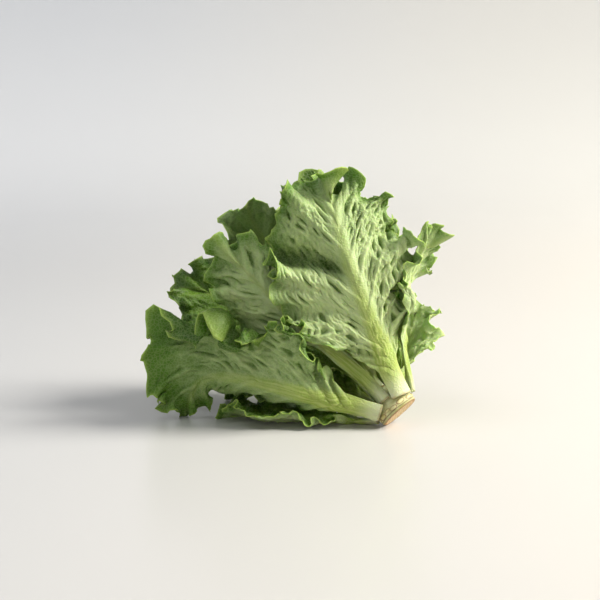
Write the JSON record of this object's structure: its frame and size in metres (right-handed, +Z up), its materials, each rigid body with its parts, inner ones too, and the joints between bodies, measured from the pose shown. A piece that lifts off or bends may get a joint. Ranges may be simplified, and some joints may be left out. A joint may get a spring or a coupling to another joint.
{
  "type": "head of green leaf lettuce",
  "caption": "Cut head of green leaf lettuce lying on its side: ruffled, thin leaves fan up and to one side from a short cut stump.",
  "frame": {"origin": "on the table the head lies on, below the middle of its box", "axes": "+X along the table from the leaf tips to the cut stump, +Y to the back of the head, +Z up"},
  "size_m": [0.2751, 0.1821, 0.2333],
  "materials": {
    "leaf": "thin plant tissue, waxy sheen, blistered between its veins, pale veins and stalk",
    "heart_leaf": "thin pale yellow-green plant tissue with a soft sheen",
    "stump": "cut plant stem: tan moist cut face with a browned rim, pale green-white side with leaf scars"
  },
  "bodies": {
    "root": {"stump": "stump", "leaf_under": "leaf", "heart_leaf_front": "heart_leaf", "heart_leaf_back": "heart_leaf", "leaf_far_left": "leaf", "leaf_back_left": "leaf", "leaf_back_top": "leaf", "leaf_inner_left": "leaf", "leaf_left_tip": "leaf", "leaf_back": "leaf", "leaf_right_back": "leaf", "leaf_back_low": "leaf", "leaf_front": "leaf", "leaf_right": "leaf", "leaf_low_front": "leaf"}
  },
  "joints": []
}
